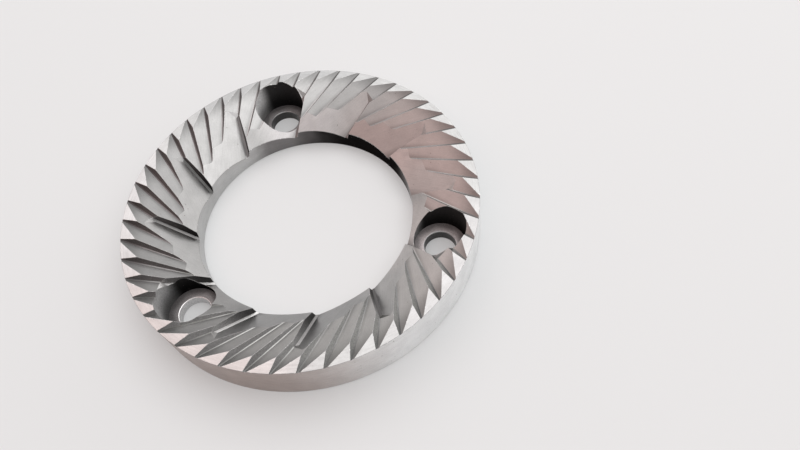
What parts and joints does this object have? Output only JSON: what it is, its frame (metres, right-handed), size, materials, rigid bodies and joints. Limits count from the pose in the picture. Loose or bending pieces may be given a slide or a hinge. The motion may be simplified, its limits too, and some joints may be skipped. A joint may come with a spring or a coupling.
{
  "type": "coffee grinder burr",
  "caption": "Flat steel burr ring for a coffee grinder: slanted grinding teeth around the rim, deeper breaker teeth down to the central bore, and counterbored screw holes.",
  "frame": {"origin": "centre of the flat back face", "axes": "+Z along the ring's axis, from the back face through the teeth; +X through the centre of a screw hole"},
  "size_m": [0.064, 0.064, 0.0088],
  "materials": {
    "ground_steel": "fine ground, satin"
  },
  "bodies": {
    "root": {"burr_ring": "ground_steel"}
  },
  "joints": []
}
